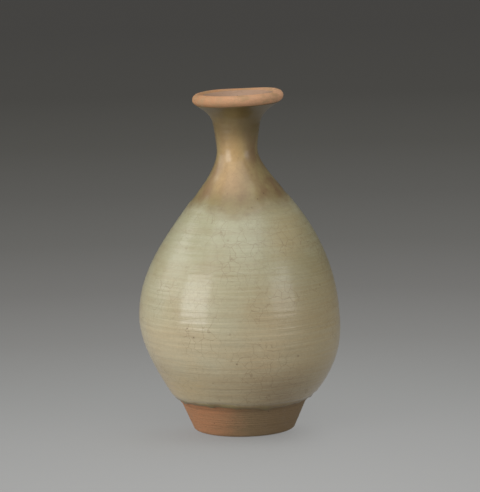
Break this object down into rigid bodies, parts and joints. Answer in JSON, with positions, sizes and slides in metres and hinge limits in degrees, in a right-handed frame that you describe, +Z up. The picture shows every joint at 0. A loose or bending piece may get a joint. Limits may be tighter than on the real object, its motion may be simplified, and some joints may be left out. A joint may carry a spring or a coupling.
{
  "type": "buncheong bottle",
  "caption": "Pear-shaped stoneware bottle with a slim neck, flared dish mouth and foot ring, white slip under a pale grey-green glaze.",
  "frame": {"origin": "middle of the circle on which the foot stands, on the table", "axes": "+Z up along the bottle's own axis; a turned form has no front, and -Y is the side that the picture shows"},
  "size_m": [0.175, 0.175, 0.296],
  "materials": {
    "bare_clay": "matte",
    "body_clay": "matte",
    "neck_clay": "matte",
    "luting_slip": "matte",
    "white_slip": "matte",
    "green_glaze": "satin",
    "inner_glaze": "satin"
  },
  "bodies": {
    "root": {"foot_ring": "bare_clay", "foot_luting": "luting_slip", "lower_bowl": "body_clay", "belly_luting": "luting_slip", "upper_shoulder": "body_clay", "neck_luting": "luting_slip", "neck": "neck_clay", "mouth_luting": "luting_slip", "dish_mouth": "bare_clay", "white_slip": "white_slip", "outer_glaze": "green_glaze", "inner_glaze": "inner_glaze"}
  },
  "joints": []
}
